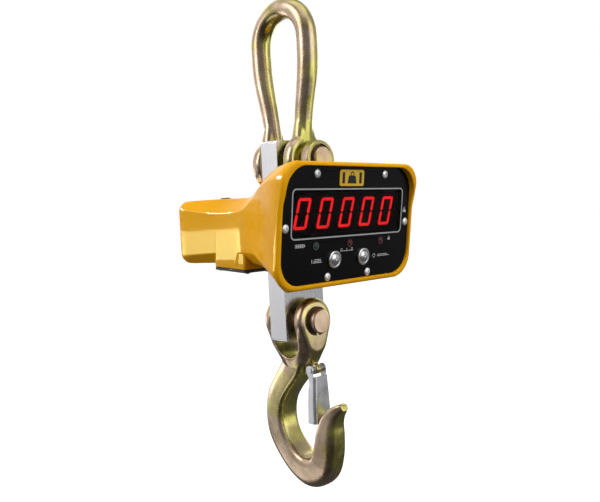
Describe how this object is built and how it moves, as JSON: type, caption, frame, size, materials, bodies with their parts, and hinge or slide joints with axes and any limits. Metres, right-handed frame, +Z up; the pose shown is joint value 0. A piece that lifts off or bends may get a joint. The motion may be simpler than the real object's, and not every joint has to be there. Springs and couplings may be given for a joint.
{
  "type": "crane scale",
  "caption": "Hanging crane scale: bow shackle on top, load bar through a cast housing with a tilted numeric display and push buttons, and a clevis hook with a spring latch below.",
  "frame": {"origin": "The highest point of the inside of the shackle's bow, where the crane's hook carries the scale.", "axes": "+Z up along the load line, +X to the reader's right across the display, +Y to the rear; the display faces -Y."},
  "size_m": [0.2068, 0.2529, 0.5375],
  "materials": {
    "zinc_yellow": "forged steel, yellow zinc passivated, olive and gold with a pinkish cast, satin",
    "black_spring_steel": "dark oxidised spring steel, satin",
    "plated_bar": "nickel plated steel, smooth",
    "gauge_foil": "metal foil on film, glossy",
    "plain_metal": "plain zinc plated steel, satin",
    "black_rubber": "black rubber, matt",
    "yellow_paint": "cast aluminium, yellow-orange gloss paint",
    "black_plastic": "black moulded plastic, matt",
    "gloss_black": "black panel, high gloss",
    "bright_steel": "bright stainless steel, polished",
    "silver_frame": "silver grey printed frame, glossy",
    "lens": "tinted clear window, glossy",
    "red_segments": "red light emitting segments",
    "circuit_board": "green circuit board",
    "brass": "turned brass",
    "led_red": "dark red lamp lens, glossy",
    "dark_bezel": "dark lamp holder, glossy",
    "yellow_badge": "yellow painted plate, glossy",
    "print_grey": "light grey print",
    "battery_grey": "grey battery case, matt",
    "foam": "grey foam",
    "cover_plate": "dark grey painted plate, satin",
    "bright_zinc": "bright zinc plated pressed steel"
  },
  "bodies": {
    "shackle": {"shackle_bow": "zinc_yellow", "shackle_pin": "zinc_yellow", "shackle_collar": "zinc_yellow", "shackle_pin_clip": "black_spring_steel"},
    "scale_body": {"load_cell": "plated_bar", "gauge_covers": "plated_bar", "strain_gauges": "gauge_foil", "cell_gland": "plain_metal", "cell_cable": "black_rubber", "cell_brackets": "plain_metal", "cell_bracket_bolts": "plain_metal", "upper_seal": "black_rubber", "lower_seal": "black_rubber", "housing": "yellow_paint", "vent_plug": "black_rubber", "charging_socket": "black_plastic", "socket_nut": "plain_metal", "front_panel": "gloss_black", "panel_gasket": "black_rubber", "panel_screws": "bright_steel", "window_frame": "silver_frame", "window_lens": "lens", "digit_modules": "black_plastic", "digit_segments": "red_segments", "display_board": "circuit_board", "main_board": "circuit_board", "board_standoffs": "brass", "board_parts": "black_plastic", "indicator_leds": "led_red", "led_bezels": "dark_bezel", "panel_plate": "yellow_badge", "panel_marks": "print_grey", "button_barrels": "bright_steel", "button_nuts": "plain_metal", "left_button_spring": "plain_metal", "right_button_spring": "plain_metal", "battery": "battery_grey", "battery_pad": "foam", "battery_gasket": "black_rubber", "battery_cover": "cover_plate", "battery_cover_screws": "plain_metal"},
    "button_left": {"left_button": "bright_steel"},
    "button_right": {"right_button": "bright_steel"},
    "hook_body": {"hook": "zinc_yellow", "hook_pin": "zinc_yellow", "hook_pin_clip": "black_spring_steel", "latch_pin": "bright_zinc", "latch_spring": "plain_metal"},
    "latch_body": {"latch": "bright_zinc"}
  },
  "joints": [
    {"name": "shackle_swing", "type": "hinge", "parent": "shackle", "child": "scale_body", "pos_m": [0, 0, -0.157], "axis": [0, 1, 0], "range_deg": [-80, 80]},
    {"name": "hook_swing", "type": "hinge", "parent": "scale_body", "child": "hook_body", "pos_m": [0, 0, -0.33], "axis": [0, 1, 0], "range_deg": [-80, 80]},
    {"name": "latch_open", "type": "hinge", "parent": "hook_body", "child": "latch_body", "pos_m": [0, -0.0245, -0.383], "axis": [1, 0, 0], "range_deg": [0, 40], "stiffness_Nm_per_rad": 0.12, "springref_deg": -34.38},
    {"name": "left_button_press", "type": "slide", "parent": "scale_body", "child": "button_left", "axis": [0, 0.991, 0.134], "range_m": [0, 0.0015], "stiffness_N_per_m": 800, "springref_m": -0.002},
    {"name": "right_button_press", "type": "slide", "parent": "scale_body", "child": "button_right", "axis": [0, 0.991, 0.134], "range_m": [0, 0.0015], "stiffness_N_per_m": 800, "springref_m": -0.002}
  ]
}
